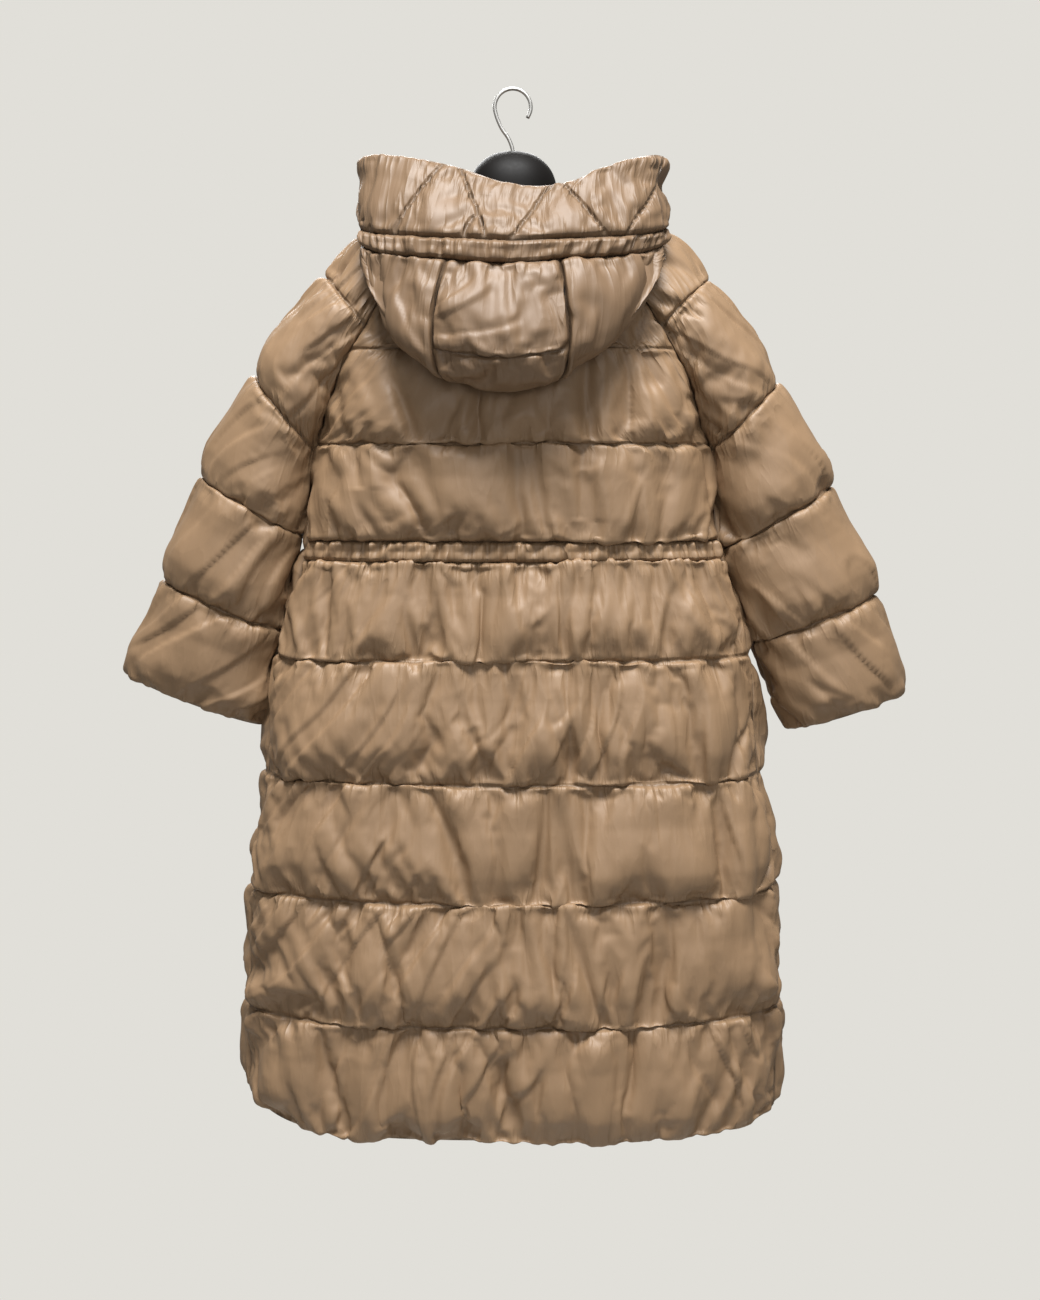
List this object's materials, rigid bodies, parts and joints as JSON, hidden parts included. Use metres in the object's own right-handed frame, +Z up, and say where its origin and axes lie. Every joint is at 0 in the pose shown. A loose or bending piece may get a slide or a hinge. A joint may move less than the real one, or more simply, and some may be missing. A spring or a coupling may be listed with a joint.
{
  "type": "long puffer coat on a hanging torso form",
  "caption": "Long quilted puffer coat with raglan sleeves, gathered back waist and a thrown-back hood, filled out on a limbless torso form that hangs from a steel hook.",
  "frame": {"origin": "the top of the inside of the hook's crook, where it bears on a rail", "axes": "+Z up, -Y out of the coat's back, +X towards the wearer's right"},
  "size_m": [1.0011, 0.3309, 1.3084],
  "materials": {
    "shell_nylon": "glossy down-proof woven nylon, tan",
    "form_plastic": "black moulded shell with a soft gloss",
    "hook_steel": "plated steel wire"
  },
  "bodies": {
    "root": {"back_upper": "shell_nylon", "waist_casing": "shell_nylon", "back_lower": "shell_nylon", "front_left": "shell_nylon", "front_right": "shell_nylon", "front_placket": "shell_nylon", "sleeve_left": "shell_nylon", "sleeve_right": "shell_nylon", "hood_brim": "shell_nylon", "hood_casing": "shell_nylon", "hood_centre": "shell_nylon", "hood_left": "shell_nylon", "hood_right": "shell_nylon", "torso_form": "form_plastic", "hook": "hook_steel"}
  },
  "joints": []
}
